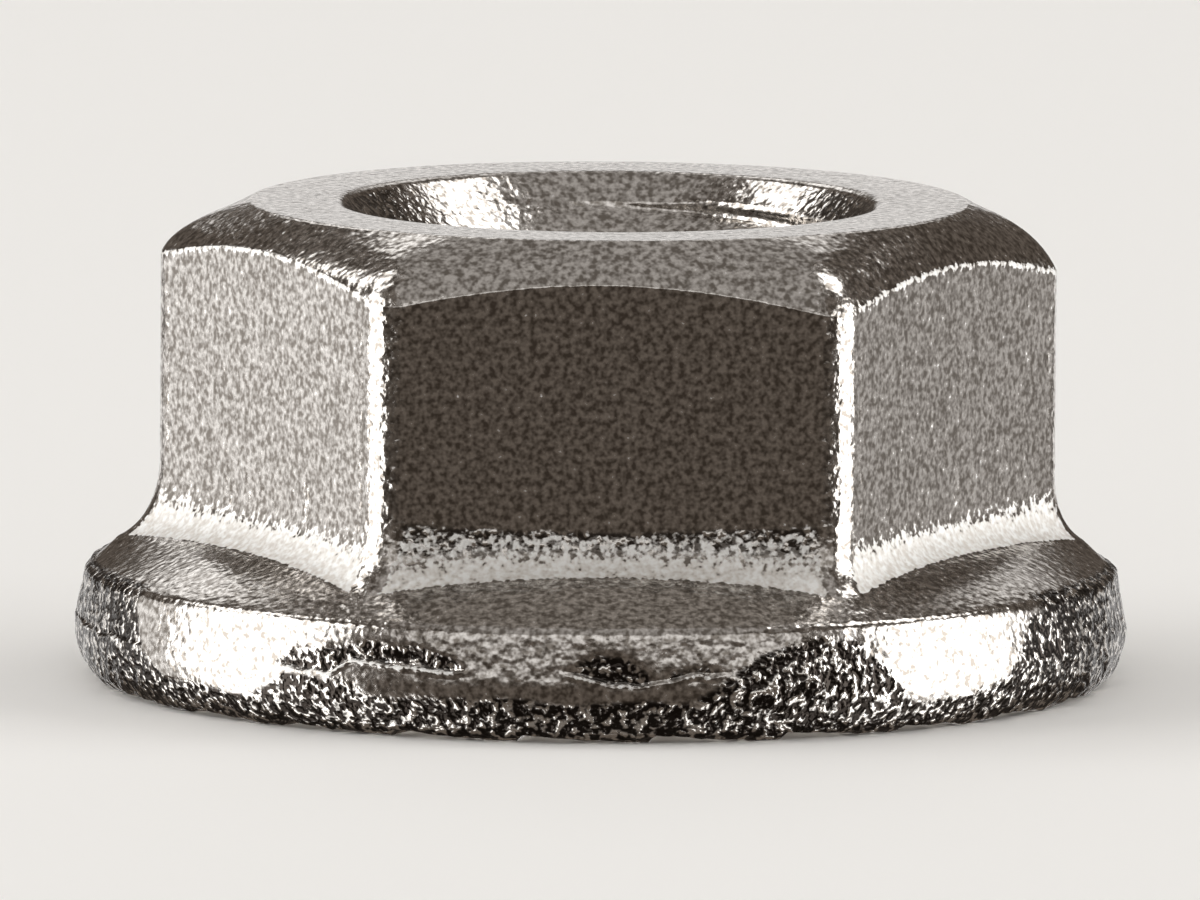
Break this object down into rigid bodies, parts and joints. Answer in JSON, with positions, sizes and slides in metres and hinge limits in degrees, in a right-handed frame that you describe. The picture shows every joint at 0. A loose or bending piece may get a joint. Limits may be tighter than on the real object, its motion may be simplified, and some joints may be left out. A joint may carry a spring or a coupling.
{
  "type": "serrated flange nut",
  "caption": "Hexagon nut with a round flange that acts as a fixed washer; saw teeth under the flange bite the joint so that it does not work loose.",
  "frame": {"origin": "centre of the bearing plane, on the thread axis, where the tips of the serrations stand", "axes": "+Z along the thread axis from the flange towards the top face; one pair of flats square to Y, hexagon corners on X"},
  "size_m": [0.0174, 0.0174, 0.0079],
  "materials": {
    "stainless_steel": "satin, fine tumbled grain"
  },
  "bodies": {
    "root": {"nut": "stainless_steel"}
  },
  "joints": []
}
